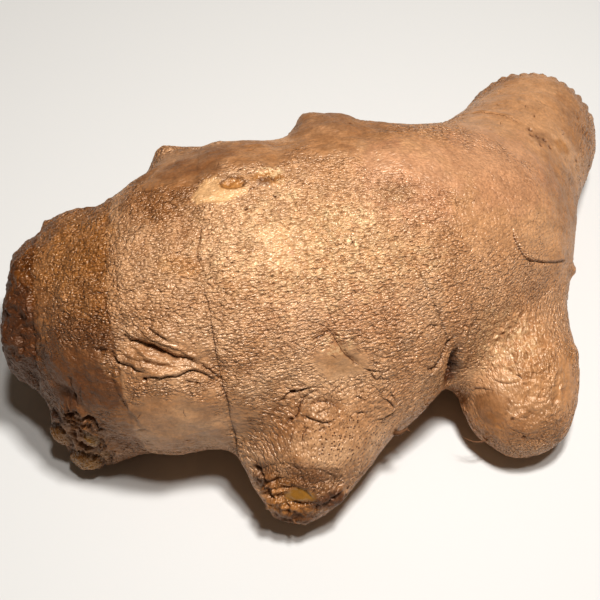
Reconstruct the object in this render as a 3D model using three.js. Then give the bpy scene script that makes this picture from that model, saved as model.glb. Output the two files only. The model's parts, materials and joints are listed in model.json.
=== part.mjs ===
// A fresh ginger root (rhizome): one fat body with a blunt left end, three short fingers and a broken stub.
// The root grew as one piece, so it is one solid.
//
// The shape is written in the frame of a viewer who looks down on the root, in millimetres: across to the
// right, up the view, and toward the viewer. onTable() turns that frame: +Z up, +X to the right, -Y toward
// the viewer, with the underside's flat spots at Z = 0 and the middle of the root's box at X = Y = 0.
import * as THREE from "three";

// Driving dimensions
const LOOK_DOWN_DEG = 55; // how steeply the viewer looks down on the table
const TABLE_BELOW = 22.6; // from the middle of the view frame down to the table
const MIDDLE = [3.03, 11.58]; // X and Y of the middle of the box, before it is moved to the origin
const FACET = 2.25; // size of the grid cells that the surface is faceted with
const GRID_LOW = [-58, -46, -56]; // the grid's corners in the view frame, clear of the root all round
const GRID_HIGH = [64, 50, 32];
const RELAX_ROUNDS = 4; // rounds of evening out the facets
const RELAX_SHARE = 0.6; // how far a point moves to the middle of its neighbours in one round
const DEPTH_SHARE = 0.88; // the body is a little flatter toward the viewer than it is tall
const AXIS_STEPS = 4; // straight steps between two stations of a finger's axis
const BREAK_ROUNDING = 3; // rounding where a broken face meets the skin

// Stations along each finger's axis: across, up, toward, radius. blend is the width of its fillet.
const FINGERS = {
  body: {
    blend: 0,
    stations: [
      [-44.0, -1.4, -4.0, 10.9],
      [-39.5, -1.2, -3.2, 14.6],
      [-35.0, -1.4, -2.4, 17.0],
      [-30.0, -2.8, -1.2, 18.2],
      [-24.0, -4.0, 0.0, 21.6],
      [-17.6, -1.4, 0.0, 23.5],
      [-9.2, 1.9, -1.0, 24.6],
      [0.8, 2.6, -3.0, 24.7],
      [11.0, 5.3, -5.0, 24.2],
      [19.0, 7.7, -8.0, 22.2],
      [26.0, 10.0, -11.0, 19.0],
      [32.4, 11.5, -14.0, 13.6],
    ],
  },
  front: {
    blend: 8,
    stations: [
      [13.0, -7.0, -3.0, 12.8],
      [3.2, -18.0, 0.5, 12.9],
      [0.8, -24.0, 2.5, 10.8],
      [0.2, -28.4, 3.6, 8.3],
    ],
  },
  right: {
    blend: 5,
    stations: [
      [35.0, 8.0, -14.0, 10.6],
      [36.8, -5.0, -10.0, 9.6],
      [36.8, -12.8, -6.5, 10.9],
      [37.2, -17.2, -5.0, 9.7],
    ],
  },
  back: {
    blend: 14,
    stations: [
      [30.4, 12.5, -14.0, 14.4],
      [35.2, 20.0, -21.5, 14.4],
      [40.4, 26.3, -29.2, 13.3],
      [43.1, 30.0, -34.6, 12.9],
    ],
  },
  stub: {
    blend: 6,
    stations: [
      [-30.0, -17.0, -3.0, 9.0],
      [-35.0, -21.8, -4.2, 6.4],
    ],
  },
};

// Buds: round swellings of the skin, with their middle and half sizes across, up and toward
const BUD_BLEND = 4;
const BUDS = {
  top_left: { at: [-19.2, 21.8, -5.0], half: [6.2, 4.4, 8.0] },
  top_middle: { at: [5.4, 26.8, -6.0], half: [8.4, 5.0, 9.0] },
};

// Faces where the root was broken or cut: a point of the face, and the way it faces
const BREAKS = {
  left_end: { at: [-48.8, 0, 0], facing: [-1, 0.05, 0.1] },
  left_shoulder: { at: [-42.4, 12.8, 0], facing: [-0.66, 0.72, 0.2] },
  back_end: { at: [47, 38.6, -43.5], facing: [0.35, 0.62, -0.7] },
  front_end: { at: [0, -36.9, 7], facing: [-0.1, -0.85, 0.45] },
  stub_end: { at: [-38.2, -25.6, -3], facing: [-0.6, -0.75, 0.2] },
};

// Rings of the leaf scales round the body. A ring lies where across = middle + lean * up + cup * toward.
// The skin dips along the ring, and before it stays lower by the thickness of the scale.
const RING_DEPTH = 0.4;
const RING_WIDTH = 1.5;
const SCALE_STEP = 0.35;
const SCALE_LENGTH = 7;
const RINGS = [
  { middle: -43.2, lean: 0, cup: 0.08 },
  { middle: -27.6, lean: -0.13, cup: -0.12 },
  { middle: -12.9, lean: -0.14, cup: -0.06 },
  { middle: 7.1, lean: -0.36, cup: -0.18 },
  { middle: 22.1, lean: -0.4, cup: -0.08 },
];

// The deep fold in the skin at the left, along a line of the view
const FOLD_DEPTH = 1.4;
const FOLD_WIDTH = 1.6;
const FOLD = [
  [-27.1, -5.1],
  [-23.8, -7.2],
  [-20.7, -8.4],
  [-16.6, -10.0],
  [-11.0, -12.6],
];

// Craggy ends: the middle of each, how far the crags reach, and their height
const CRAG_LENGTH = 5.5;
const CRAGS = [
  { at: [-50, -7, 2], reach: 12, height: 0.5 },
  { at: [-37, -24, -2], reach: 8, height: 0.8 },
  { at: [-1, -34, 7], reach: 9, height: 0.8 },
];

const RADIANS = Math.PI / 180;
const lookSine = Math.sin(LOOK_DOWN_DEG * RADIANS);
const lookCosine = Math.cos(LOOK_DOWN_DEG * RADIANS);

// A point of the view, set down on the table; what would be under the table is flattened
function onTable([u, v, w]) {
  const z = v * lookCosine + w * lookSine + TABLE_BELOW;
  return [u - MIDDLE[0], v * lookSine - w * lookCosine - MIDDLE[1], Math.max(z, 0)];
}

const minus = (a, b) => a.map((x, i) => x - b[i]);
const moved = (a, b, share) => a.map((x, i) => x + share * b[i]);
const dot = (a, b) => a.reduce((sum, x, i) => sum + x * b[i], 0);
const unit = (a) => a.map((x) => x / Math.hypot(...a));

// Smooth union of two distances, with a fillet about `reach` wide
function melt(a, b, reach) {
  if (reach <= 0) return Math.min(a, b);
  const h = Math.max(reach - Math.abs(a - b), 0) / reach;
  return Math.min(a, b) - (h * h * h * reach) / 6;
}

// The axis of a finger as short straight steps of a smooth curve, with the point and radius at each end
function axisOf(stations) {
  const curve = new THREE.CatmullRomCurve3(stations.map(([u, v, w]) => new THREE.Vector3(u, v, w)));
  const radii = new THREE.SplineCurve(stations.map(([, , , r], i) => new THREE.Vector2(i, r)));
  const count = (stations.length - 1) * AXIS_STEPS;
  const knots = [];
  for (let i = 0; i <= count; i++) {
    const p = curve.getPoint(i / count);
    knots.push([p.x, p.y, p.z, radii.getPoint(i / count).y]);
  }
  return knots;
}

// Distance from a point to the round skin about one axis, negative inside
function tube(knots, [u, v, w]) {
  let least = Infinity;
  for (let i = 0; i + 1 < knots.length; i++) {
    const [au, av, aw, ar] = knots[i];
    const [bu, bv, bw, br] = knots[i + 1];
    const [eu, ev, ew] = [bu - au, bv - av, (bw - aw) / DEPTH_SHARE];
    const [pu, pv, pw] = [u - au, v - av, (w - aw) / DEPTH_SHARE];
    const t = Math.min(1, Math.max(0, (pu * eu + pv * ev + pw * ew) / (eu * eu + ev * ev + ew * ew)));
    const gap = Math.hypot(pu - t * eu, pv - t * ev, pw - t * ew) - (ar + t * (br - ar));
    least = Math.min(least, gap);
  }
  return least;
}

const axes = Object.values(FINGERS).map(({ blend, stations }) => ({ blend, knots: axisOf(stations) }));
const buds = Object.values(BUDS);
const breaks = Object.values(BREAKS).map(({ at, facing }) => ({ at, facing: unit(facing) }));

// Distance to the smooth surface of the whole root, negative inside
function field(p) {
  let d = Infinity;
  for (const { blend, knots } of axes) d = melt(d, tube(knots, p), blend);
  for (const { at, half } of buds) {
    const size = Math.hypot(...minus(p, at).map((x, i) => x / half[i]));
    d = melt(d, (size - 1) * Math.min(...half), BUD_BLEND);
  }
  for (const { at, facing } of breaks) d = -melt(-d, -dot(minus(p, at), facing), BREAK_ROUNDING);
  return d;
}

function slope(p) {
  const e = 0.05;
  const steps = [0, 1, 2].map((axis) => p.map((x, i) => (i === axis ? e : 0)));
  return steps.map((step) => (field(moved(p, step, 1)) - field(moved(p, step, -1))) / (2 * e));
}

// Moves a point straight onto the smooth surface
function settled(p) {
  const s = slope(p);
  return moved(p, s, -field(p) / dot(s, s));
}

const ringAcross = ({ middle, lean, cup }, v, w) => middle + lean * v + cup * w;

function ringRelief([u, v, w]) {
  let height = 0;
  for (const ring of RINGS) {
    const past = u - ringAcross(ring, v, w);
    height -= RING_DEPTH * Math.exp(-((past / RING_WIDTH) ** 2));
    if (past < RING_WIDTH / 4) height -= SCALE_STEP * Math.exp(-Math.max(-past, 0) / SCALE_LENGTH);
  }
  return height;
}

function foldRelief([u, v, w]) {
  let near = Infinity;
  for (let i = 0; i + 1 < FOLD.length; i++) {
    const [a, b] = [FOLD[i], FOLD[i + 1]];
    const e = minus(b, a);
    const t = Math.min(1, Math.max(0, dot(minus([u, v], a), e) / dot(e, e)));
    near = Math.min(near, Math.hypot(...minus([u, v], moved(a, e, t))));
  }
  return w > 0 ? -FOLD_DEPTH * Math.exp(-((near / FOLD_WIDTH) ** 2)) : 0;
}

function cragRelief(p) {
  const [a, b, c] = p.map((x) => (2 * Math.PI * x) / CRAG_LENGTH);
  const [first, second, third] = [a + 1.3 * Math.sin(b), b + 1.7 * Math.sin(c), c + 1.1 * Math.sin(a)];
  const crags = Math.sin(first) + Math.sin(second) + Math.sin(third);
  let height = 0;
  for (const crag of CRAGS) {
    const away = Math.hypot(...minus(p, crag.at)) / crag.reach;
    height += (crag.height / 2) * crags * Math.exp(-(away ** 4));
  }
  return height;
}

function onSkin(p) {
  return moved(p, unit(slope(p)), ringRelief(p) + foldRelief(p) + cragRelief(p));
}

// Where the grid's walls cross the across axis: each ring runs through the middle of a row of cells
function gridWalls(from, to) {
  const stops = [{ middle: from, lean: 0, cup: 0 }, ...RINGS, { middle: to, lean: 0, cup: 0 }];
  const walls = [];
  const ringCells = [];
  for (let i = 0; i + 1 < stops.length; i++) {
    const [a, b] = [stops[i], stops[i + 1]];
    const count = Math.round((b.middle - a.middle) / FACET);
    for (let j = 0; j < count; j++) {
      const t = (j + 0.5) / count;
      const mix = (key) => a[key] + t * (b[key] - a[key]);
      walls.push({ middle: mix("middle"), lean: mix("lean"), cup: mix("cup") });
    }
    ringCells.push(walls.length - 1);
  }
  return { walls, ringCells: ringCells.slice(0, RINGS.length) };
}

// The zero surface of the field as quads, with one point in each cell of the grid that the surface crosses
function netOf(lowest, highest) {
  const { walls, ringCells } = gridWalls(lowest[0], highest[0]);
  const n = [walls.length, ...[1, 2].map((axis) => Math.ceil((highest[axis] - lowest[axis]) / FACET))];
  const indexOf = (i, j, k) => (k * n[1] + j) * n[0] + i;
  const corner = (i, j, k) => {
    const [v, w] = [lowest[1] + j * FACET, lowest[2] + k * FACET];
    return [ringAcross(walls[i], v, w), v, w];
  };
  const values = new Float64Array(n[0] * n[1] * n[2]);
  const everyCell = (from, visit) => {
    for (let k = from; k + 1 < n[2]; k++) {
      for (let j = from; j + 1 < n[1]; j++) {
        for (let i = from; i + 1 < n[0]; i++) visit(i, j, k);
      }
    }
  };
  values.fill(1);
  everyCell(0, (i, j, k) => (values[indexOf(i, j, k)] = field(corner(i, j, k))));

  const bits = [0, 1, 2, 3, 4, 5, 6, 7].map((c) => [c & 1, (c >> 1) & 1, c >> 2]);
  const edges = [];
  for (let a = 0; a < 8; a++) {
    for (const bit of [1, 2, 4]) if (!(a & bit)) edges.push([bits[a], bits[a | bit]]);
  }
  const points = [];
  const ringOf = [];
  const pointIn = new Int32Array(values.length).fill(-1);
  everyCell(0, (i, j, k) => {
    let sum = [0, 0, 0];
    let crossings = 0;
    for (const [a, b] of edges) {
      const [fa, fb] = [a, b].map((bit) => values[indexOf(i + bit[0], j + bit[1], k + bit[2])]);
      if (fa < 0 === fb < 0) continue;
      const [pa, pb] = [a, b].map((bit) => corner(i + bit[0], j + bit[1], k + bit[2]));
      sum = moved(sum, moved(pa, minus(pb, pa), fa / (fa - fb)), 1);
      crossings++;
    }
    if (!crossings) return;
    pointIn[indexOf(i, j, k)] = points.length;
    points.push(sum.map((x) => x / crossings));
    ringOf.push(RINGS[ringCells.indexOf(i)]);
  });

  const quads = [];
  everyCell(1, (i, j, k) => {
    const here = values[indexOf(i, j, k)] < 0;
    for (const axis of [0, 1, 2]) {
      const [d, e, f] = [0, 1, 2].map((turn) => [0, 1, 2].map((x) => (x === (axis + turn) % 3 ? 1 : 0)));
      if (here === values[indexOf(i + d[0], j + d[1], k + d[2])] < 0) continue;
      const around = [
        [1, 1],
        [0, 1],
        [0, 0],
        [1, 0],
      ];
      const cellAt = (a, b) => [i, j, k].map((x, s) => x - a * e[s] - b * f[s]);
      const quad = around.map(([a, b]) => pointIn[indexOf(...cellAt(a, b))]);
      quads.push(here ? quad : quad.reverse());
    }
  });
  return { points, quads, ringOf };
}

function neighboursOf(count, quads) {
  const near = Array.from({ length: count }, () => new Set());
  for (const quad of quads) {
    quad.forEach((a, i) => {
      const b = quad[(i + 1) % 4];
      near[a].add(b);
      near[b].add(a);
    });
  }
  return near.map((set) => [...set]);
}

// Evens out the spacing of the points. They stay on the surface, and those of a ring stay on the ring.
function relax({ points, quads, ringOf }) {
  const near = neighboursOf(points.length, quads);
  for (let round = 0; round < RELAX_ROUNDS; round++) {
    const next = points.map((p, i) => {
      const pull = near[i].reduce((sum, j) => moved(sum, minus(points[j], p), 1 / near[i].length), [0, 0, 0]);
      const [u, v, w] = settled(moved(p, pull, RELAX_SHARE));
      return ringOf[i] ? [ringAcross(ringOf[i], v, w), v, w] : [u, v, w];
    });
    points.splice(0, points.length, ...next);
  }
}

// Splits a quad along its shorter diagonal
function trianglesOf([a, b, c, d], points) {
  const length = (i, j) => Math.hypot(...minus(points[i], points[j]));
  return length(a, c) < length(b, d) ? [a, b, c, a, c, d] : [a, b, d, b, c, d];
}

function rootGeometry() {
  const net = netOf(GRID_LOW, GRID_HIGH);
  relax(net);
  const skin = net.points.map((p) => onTable(onSkin(p)));
  const geometry = new THREE.BufferGeometry();
  geometry.setAttribute("position", new THREE.Float32BufferAttribute(skin.flat(), 3));
  geometry.setIndex(net.quads.flatMap((quad) => trianglesOf(quad, skin)));
  geometry.computeVertexNormals();
  return geometry;
}

const skinMaterial = new THREE.MeshStandardMaterial({ color: 0xb98a5a, roughness: 0.55, metalness: 0 });
const root = new THREE.Mesh(rootGeometry(), skinMaterial);
root.name = "ginger_root";

const model = new THREE.Group();
model.add(root);

export default model;
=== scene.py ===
"""A fresh ginger root on a pale floor: skin, rings, folds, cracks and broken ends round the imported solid."""

import json
import math
from collections import namedtuple

import bpy
import numpy as np
from bpy.props import FloatProperty, FloatVectorProperty, IntProperty, PointerProperty
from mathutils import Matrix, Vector
from mathutils.bvhtree import BVHTree

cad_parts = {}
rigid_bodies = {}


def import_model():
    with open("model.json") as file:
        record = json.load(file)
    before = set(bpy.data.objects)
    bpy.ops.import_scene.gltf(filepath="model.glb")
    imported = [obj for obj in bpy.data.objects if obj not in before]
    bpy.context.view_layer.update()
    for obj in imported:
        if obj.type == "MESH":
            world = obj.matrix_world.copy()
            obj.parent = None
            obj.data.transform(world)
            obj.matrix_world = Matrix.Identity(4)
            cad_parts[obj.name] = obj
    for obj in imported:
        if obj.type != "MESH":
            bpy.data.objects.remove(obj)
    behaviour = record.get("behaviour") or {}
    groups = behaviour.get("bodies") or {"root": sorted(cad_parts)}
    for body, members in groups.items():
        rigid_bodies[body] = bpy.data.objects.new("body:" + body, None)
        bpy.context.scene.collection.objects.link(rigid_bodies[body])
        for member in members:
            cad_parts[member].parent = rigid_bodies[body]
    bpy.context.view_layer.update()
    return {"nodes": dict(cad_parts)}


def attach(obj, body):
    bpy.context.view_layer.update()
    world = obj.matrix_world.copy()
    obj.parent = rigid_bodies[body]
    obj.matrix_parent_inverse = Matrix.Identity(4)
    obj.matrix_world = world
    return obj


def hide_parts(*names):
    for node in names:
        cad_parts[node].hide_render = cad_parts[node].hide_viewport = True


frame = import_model()

bl_info = {
    "name": "Ginger root",
    "version": (1, 0, 0),
    "blender": (4, 5, 0),
    "location": "3D View > Sidebar > Ginger",
    "description": "Builds the skin, the dry rootlets and the stage of a fresh ginger root",
    "category": "Add Mesh",
}

ROOT_NODE = "ginger_root"
MM = 0.001

# The view frame of part.mjs, in millimetres: across to the right, up the view and toward the viewer
LOOK_DOWN = math.radians(55)
TABLE_BELOW = 22.6
MIDDLE = (3.03, 11.58)
VIEW_DISTANCE = 250.0
PHOTO_PIXELS = 600
PIXELS_PER_MM = 6.0

# Axes of the body and its fingers, for the way the skin's wrinkles run: points of the axis, and its radius
GROWTH = {
    "body": (((-44, -1, -4), (-24, -4, 0), (1, 3, -3), (19, 8, -8), (32, 12, -14)), 23.0),
    "front": (((13, -7, -3), (3, -18, 0), (0, -32, 4)), 11.0),
    "right": (((35, 8, -14), (37, -5, -10), (37, -18, -5)), 10.5),
    "back": (((30, 12, -14), (40, 26, -29), (44, 31, -35)), 13.0),
    "stub": (((-30, -17, -3), (-36, -23, -4)), 7.0),
}

# Rings round the body: where across = middle + lean * up + cup * toward. depth is the crease's depth and dark
# its dark line's half width, in millimetres; old and ruddy are the skin's tone before the ring and after it.
# The line is seen between two heights up the view, and beyond them the ring is only an edge.
Ring = namedtuple("Ring", "middle lean cup depth dark old ruddy seen")
RINGS = (
    Ring(-43.2, 0.0, 0.08, 0.25, 0.05, 1.0, 0.0, (-40, -2)),
    Ring(-27.6, -0.13, -0.12, 0.15, 0.025, 0.7, 0.0, (-12, 3)),
    Ring(-12.9, -0.14, -0.06, 0.22, 0.09, 0.15, 0.0, (-40, 3)),
    Ring(7.1, -0.36, -0.18, 0.22, 0.06, 0.0, 0.45, (-6, 2)),
    Ring(22.1, -0.4, -0.08, 0.1, 0.03, 0.0, 0.65, (-8, 12)),
)
# The body's pieces, from left to right, parted at every ring but the first
BODY_PARTS = ("body_left", "body_shoulder", "body_middle", "body_neck", "body_right")
# Half width of a ring's crease, how far it wanders, how ragged its tone is and how dark the painted shade in
# its crease is; how softly the ruddy tone comes in; how far the scale behind the ring stands up, and over what
# length it sinks back
RING_WIDTH = 0.26
RING_WANDER = 0.4
RING_RAGGED = 0.5
RING_SHADE = 0.35
RUDDY_FADE = 5.0
SCALE_EDGE = 0.16
SCALE_FADE = 2.5
# How much longer than wide the cells of the finest wrinkles are
GRAIN_STRETCH = 1.9
# How far from any dark line the skin counts as plain, in half widths of a line
FAR = 40.0
# Distance between the points of a drawn line, and how far from the viewer the root can be, in millimetres
LINE_STEP = 0.5
ROOT_REACH = np.arange(225.0, 310.0)

# How far an edge's rim curls up, as a share of the edge; how dark the painted shade in a groove is for its
# depth; how much of a crack is left at its ends, and the length over which it thins out there
CURL = 0.35
GROOVE_SHADE = 0.7
CRACK_END = 0.12
CRACK_TAPER = 2.0
# Small lifted flakes: bend, length, edge, half width of the dark line, and the groove's half width and depth
FLAKE_BEND = 0.5
FLAKE_LENGTH = (0.8, 2.2)
FLAKE_EDGE = (0.06, 0.16)
FLAKE_DARK = (0.02, 0.06)
FLAKE_GROOVE = (0.18, 0.1)
FLAKE_REACH = 0.4
# Depth of the crease round a nodule's foot, as a share of its height, and height of a pit's rim, of its depth
NODULE_FOOT = 0.4
PIT_RIM = 0.06

Crack = namedtuple("Crack", "at dark width depth edge reach", defaults=(0.0, 0.8))
# Cracks, folds and the edges of peeling skin, along points of the 600-pixel view. In millimetres: half the
# width of the dark line, the groove's half width and its depth, which is below zero for a ridge, how far the
# skin on the line's left stands above that on its right, and how far back that lift reaches.
CRACKS = (
    # The pinched fold of the left body, and the smaller folds over and under it
    Crack(((121, 332), (132, 339), (147, 343), (159, 349), (172, 355), (180, 356), (190, 358), (200, 364)),
          0.04, 0.4, 0.35, 0.5, 1.6),
    Crack(((138, 341), (150, 345), (160, 350), (172, 356)), 0.06, 0.5, 0.45),
    Crack(((150, 352), (163, 358), (176, 363), (190, 366), (202, 370)), 0.0, 0.3, 0.1, 0.25, 0.8),
    Crack(((126, 344), (138, 352), (147, 360), (158, 366)), 0.0, 0.3, 0.15, 0.2, 0.8),
    Crack(((130, 339), (147, 346), (160, 351), (174, 357), (186, 360)), 0.0, 0.9, 0.45),
    Crack(((150, 376), (164, 373), (179, 371), (190, 367)), 0.0, 0.7, -0.4),
    Crack(((133, 348), (147, 356), (160, 360), (174, 364), (190, 368)), 0.0, 0.45, -0.35),
    Crack(((134, 355), (148, 363), (164, 367), (178, 369)), 0.01, 0.4, 0.3),
    Crack(((146, 336), (160, 341), (174, 347), (186, 353)), 0.0, 0.4, -0.3),
    Crack(((118, 354), (126, 362), (138, 368)), 0.0, 0.8, 0.35),
    Crack(((198, 363), (205, 367), (212, 372), (221, 378), (227, 382)), 0.1, 0.3, 0.4, 0.25, 1.2),
    Crack(((134, 335), (150, 338), (166, 344), (182, 351), (198, 361)), 0.05, 0.3, 0.25, 0.2, 0.7),
    Crack(((148, 322), (152, 330), (162, 336), (175, 342)), 0.06, 0.3, 0.35, 0.25, 0.9),
    Crack(((138, 327), (144, 333), (152, 338)), 0.05, 0.25, 0.25, 0.2, 0.8),
    Crack(((114, 341), (121, 340), (128, 342)), 0.06, 0.2, 0.25, 0.12, 0.6),
    Crack(((92, 350), (100, 350), (109, 349)), 0.12, 0.3, 0.4, 0.2, 0.8),
    Crack(((112, 349), (114, 357), (119, 363), (130, 367), (139, 371), (147, 373)),
          0.12, 0.35, 0.5, 0.35, 1.2),
    Crack(((118, 352), (127, 357), (137, 360), (148, 362)), 0.04, 0.25, 0.2, 0.12, 0.6),
    Crack(((143, 380), (149, 377), (164, 377), (179, 375), (189, 371), (199, 371), (209, 376), (219, 382)),
          0.09, 0.3, 0.35, 0.45, 1.0),
    Crack(((143, 381), (146, 379)), 0.2, 0.3, 0.5),
    Crack(((152, 366), (166, 364), (181, 363)), 0.03, 0.25, 0.15, 0.1, 0.6),
    Crack(((179, 383), (191, 382), (199, 384), (204, 392)), 0.05, 0.25, 0.2, 0.2, 0.8),
    # Short cracks of the left end
    Crack(((90, 296), (98, 293), (107, 292)), 0.09, 0.2, 0.3, 0.2, 0.7),
    Crack(((123, 294), (131, 291), (138, 288)), 0.07, 0.2, 0.2, 0.1, 0.6),
    Crack(((114, 365), (112, 375), (117, 389), (127, 407), (137, 419), (141, 429)), 0.0, 0.3, 0.05, 0.2, 1.0),
    Crack(((134, 431), (142, 429), (150, 432)), 0.06, 0.2, 0.2, 0.1, 0.6),
    Crack(((119, 452), (128, 449), (136, 455)), 0.06, 0.2, 0.2, 0.1, 0.6),
    Crack(((66, 372), (70, 385), (72, 398), (78, 408)), 0.05, 0.3, 0.3, -0.2, 0.8),
    Crack(((82, 382), (79, 394), (83, 406)), 0.04, 0.25, 0.2, 0.15, 0.8),
    # The third ring's torn lower edge, and the forked cracks beside it
    Crack(((309, 335), (314, 339), (321, 338), (326, 332), (330, 332), (335, 338), (340, 348), (346, 355),
           (354, 363), (362, 367)), 0.09, 0.25, 0.3, -0.3, 1.0),
    Crack(((362, 367), (369, 371), (382, 372)), 0.08, 0.2, 0.3, 0.15, 0.7),
    Crack(((369, 371), (377, 380), (384, 371)), 0.09, 0.2, 0.3, 0.15, 0.7),
    Crack(((377, 380), (385, 379), (392, 380)), 0.06, 0.2, 0.2, 0.1, 0.6),
    # Peeling skin above the front finger
    Crack(((281, 401), (286, 396), (292, 392), (304, 390), (318, 385)), 0.1, 0.25, 0.35, 0.3, 0.9),
    Crack(((290, 393), (294, 391)), 0.2, 0.3, 0.5),
    Crack(((281, 400), (287, 399)), 0.12, 0.2, 0.3),
    Crack(((318, 391), (307, 395), (301, 403), (297, 414), (288, 422), (283, 430)),
          0.08, 0.25, 0.35, 0.3, 0.9),
    Crack(((298, 416), (305, 416), (312, 419), (322, 422), (330, 422), (335, 417)),
          0.09, 0.22, 0.35, 0.35, 0.8),
    Crack(((314, 412), (314, 405), (322, 402), (330, 404), (337, 407), (338, 415)),
          0.06, 0.2, 0.25, -0.25, 0.6),
    Crack(((314, 413), (322, 411), (330, 408)), 0.05, 0.2, 0.2, 0.15, 0.6),
    Crack(((308, 426), (303, 435), (301, 442)), 0.07, 0.2, 0.3, 0.2, 0.7),
    Crack(((296, 426), (291, 436), (290, 446)), 0.05, 0.25, 0.25, 0.2, 0.8),
    Crack(((352, 400), (357, 397), (365, 400), (364, 404)), 0.06, 0.2, 0.2, 0.2, 0.6),
    Crack(((354, 412), (360, 413), (367, 412)), 0.07, 0.2, 0.25, 0.2, 0.7),
    Crack(((374, 421), (382, 419), (389, 414), (395, 411), (400, 409)), 0.08, 0.2, 0.25, 0.3, 0.7),
    Crack(((379, 394), (389, 402), (397, 410)), 0.08, 0.2, 0.3, 0.25, 0.8),
    Crack(((390, 388), (393, 397), (396, 402)), 0.06, 0.2, 0.25, 0.2, 0.7),
    Crack(((374, 386), (379, 391), (378, 397)), 0.05, 0.2, 0.2, 0.15, 0.6),
    # The hollow between the body and the right finger
    Crack(((458, 337), (450, 343), (445, 354), (439, 363), (432, 370), (425, 367)),
          0.12, 0.35, 0.6, 0.35, 1.2),
    Crack(((424, 330), (430, 326), (443, 324)), 0.07, 0.25, 0.3, 0.15, 0.8),
    Crack(((459, 348), (456, 358), (453, 368), (451, 379)), 0.2, 0.7, 1.2, 0.0, 1.0),
    Crack(((414, 345), (420, 336), (427, 330)), 0.05, 0.3, 0.25, 0.15, 0.8),
    # The sheaths of the back finger
    Crack(((512, 227), (516, 239), (520, 249), (527, 259), (541, 262), (553, 262), (565, 260)),
          0.05, 0.25, 0.3, 0.3, 2.0),
    Crack(((470, 114), (482, 112), (495, 114), (512, 119), (524, 126)), 0.03, 0.4, 0.15, 0.25, 1.2),
    # Wrinkles and the dome of the right finger
    Crack(((470, 391), (480, 388), (490, 390), (497, 391)), 0.06, 0.2, 0.2, 0.15, 0.8),
    Crack(((493, 379), (503, 383), (513, 383), (520, 381)), 0.05, 0.2, 0.2, 0.12, 0.8),
    Crack(((515, 374), (519, 377), (523, 381)), 0.09, 0.15, 0.2),
    Crack(((506, 428), (515, 431), (524, 434), (532, 433)), 0.03, 0.3, 0.2, 0.15, 1.0),
    Crack(((462, 340), (464, 326), (470, 315)), 0.0, 0.4, 0.25, 0.25, 0.9),
    Crack(((468, 342), (470, 330), (476, 319)), 0.03, 0.4, 0.3, 0.25, 0.9),
    Crack(((475, 345), (477, 334), (482, 323)), 0.03, 0.4, 0.25, 0.2, 0.9),
    # Loose edges along the upper rings
    Crack(((202, 226), (199, 240), (197, 255), (203, 268)), 0.04, 0.25, 0.25, 0.15, 0.8),
    Crack(((262, 181), (270, 178), (277, 181), (284, 176)), 0.06, 0.2, 0.2, 0.25, 0.8),
    Crack(((283, 190), (290, 195), (296, 205), (300, 215)), 0.02, 0.2, 0.25, 0.25, 0.8),
    Crack(((246, 196), (238, 199), (226, 200), (208, 203), (193, 206)), 0.02, 0.25, 0.15, 0.2, 0.9),
    Crack(((247, 196), (250, 189), (257, 186), (262, 181)), 0.05, 0.2, 0.3, 0.25, 0.7),
    Crack(((244, 208), (248, 210)), 0.12, 0.2, 0.2),
    Crack(((274, 195), (277, 197)), 0.1, 0.2, 0.2),
    Crack(((334, 243), (338, 247)), 0.1, 0.15, 0.2),
)
# The broken end of the front finger and of the stub
BREAK_LINES = (
    Crack(((254, 463), (262, 467), (270, 465), (280, 463), (290, 464), (297, 468), (310, 469), (322, 470),
           (330, 474), (339, 480), (346, 486)), 0.0, 1.0, 0.22, 0.2, 2.0),
    Crack(((253, 465), (257, 469), (262, 474)), 0.1, 0.6, 0.8),
    Crack(((256, 466), (264, 476), (268, 482), (275, 480), (282, 478)), 0.06, 0.3, 0.6, 0.35, 0.8),
    Crack(((258, 480), (264, 487), (272, 489), (280, 487)), 0.06, 0.3, 0.5, 0.4, 0.7),
    Crack(((276, 489), (286, 487), (296, 488), (305, 492), (312, 498), (316, 504)),
          0.02, 0.3, 0.15, 0.25, 0.8),
    Crack(((262, 494), (272, 498), (281, 498), (288, 501), (297, 505), (308, 506), (318, 504)),
          0.03, 0.3, 0.25, -0.35, 0.8),
    Crack(((283, 499), (290, 508), (287, 516)), 0.05, 0.25, 0.4, 0.2, 0.7),
    Crack(((317, 506), (328, 501), (338, 495), (346, 489)), 0.08, 0.4, 0.5, 0.35, 0.9),
    Crack(((318, 502), (318, 509), (316, 514)), 0.12, 0.3, 0.5, 0.2, 0.7),
    Crack(((62, 408), (70, 414), (76, 411), (84, 417), (93, 420), (98, 428), (108, 430)),
          0.2, 0.4, 0.9, 0.35, 0.9),
    Crack(((72, 428), (74, 438), (82, 446), (93, 447), (102, 442)), 0.25, 0.5, 1.1, 0.25, 0.8),
    Crack(((99, 436), (103, 447), (110, 455), (112, 462)), 0.13, 0.35, 0.6, 0.2, 0.8),
    Crack(((58, 420), (66, 424), (72, 428)), 0.15, 0.35, 0.5, 0.2, 0.8),
    Crack(((76, 421), (80, 428), (78, 434)), 0.12, 0.3, 0.5, 0.2, 0.7),
)

# Scalloped rim at the far end of the back finger, in millimetres, and points of the view just outside it
SCALLOPS = {"pitch": 2.1, "height": 0.5, "width": 1.6, "at": (
    (483, 84), (497, 76), (510, 73), (523, 71), (536, 73), (549, 76), (562, 82), (573, 89), (584, 100),
    (593, 111), (598, 126))}

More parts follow.
